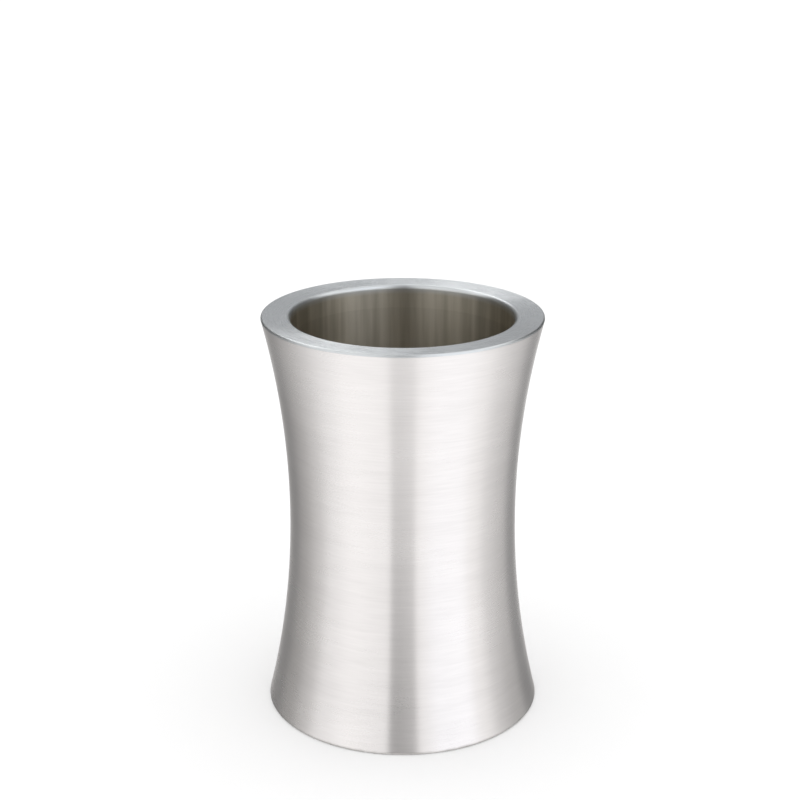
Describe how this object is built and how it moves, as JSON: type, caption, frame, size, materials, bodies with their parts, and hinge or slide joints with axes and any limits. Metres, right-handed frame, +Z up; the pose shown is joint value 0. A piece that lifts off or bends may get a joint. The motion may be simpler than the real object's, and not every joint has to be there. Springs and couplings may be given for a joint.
{
  "type": "double-walled bottle bucket",
  "caption": "Waisted double-walled champagne bucket: brushed steel sleeve, polished dished rim rolled into a straight well for one bottle, turned-in foot and closed base.",
  "frame": {"origin": "centre of the circle that the foot stands on, at table level", "axes": "+Z up along the bucket's own axis; -Y towards the front; the sleeve's seam is at +Y"},
  "size_m": [0.1356, 0.1356, 0.2],
  "materials": {
    "brushed_sleeve": "fine satin brushing that runs round the body",
    "polished_rim": "smooth polish with fine turning marks, brightest across one diameter",
    "satin_liner": "smooth satin, drawn",
    "pressed_base": "plain mill finish, lightly turned",
    "pad_rubber": "matt foam rubber",
    "plug_rubber": "smooth matt moulding",
    "weld_bead": "as welded, lightly dressed"
  },
  "bodies": {
    "root": {"outer_shell": "brushed_sleeve", "rim_ring": "polished_rim", "inner_liner": "satin_liner", "base_plate": "pressed_base", "floor_pad": "pad_rubber", "vent_plug": "plug_rubber", "rim_weld": "weld_bead", "neck_weld": "weld_bead", "base_weld": "weld_bead", "seam_weld": "weld_bead"}
  },
  "joints": []
}
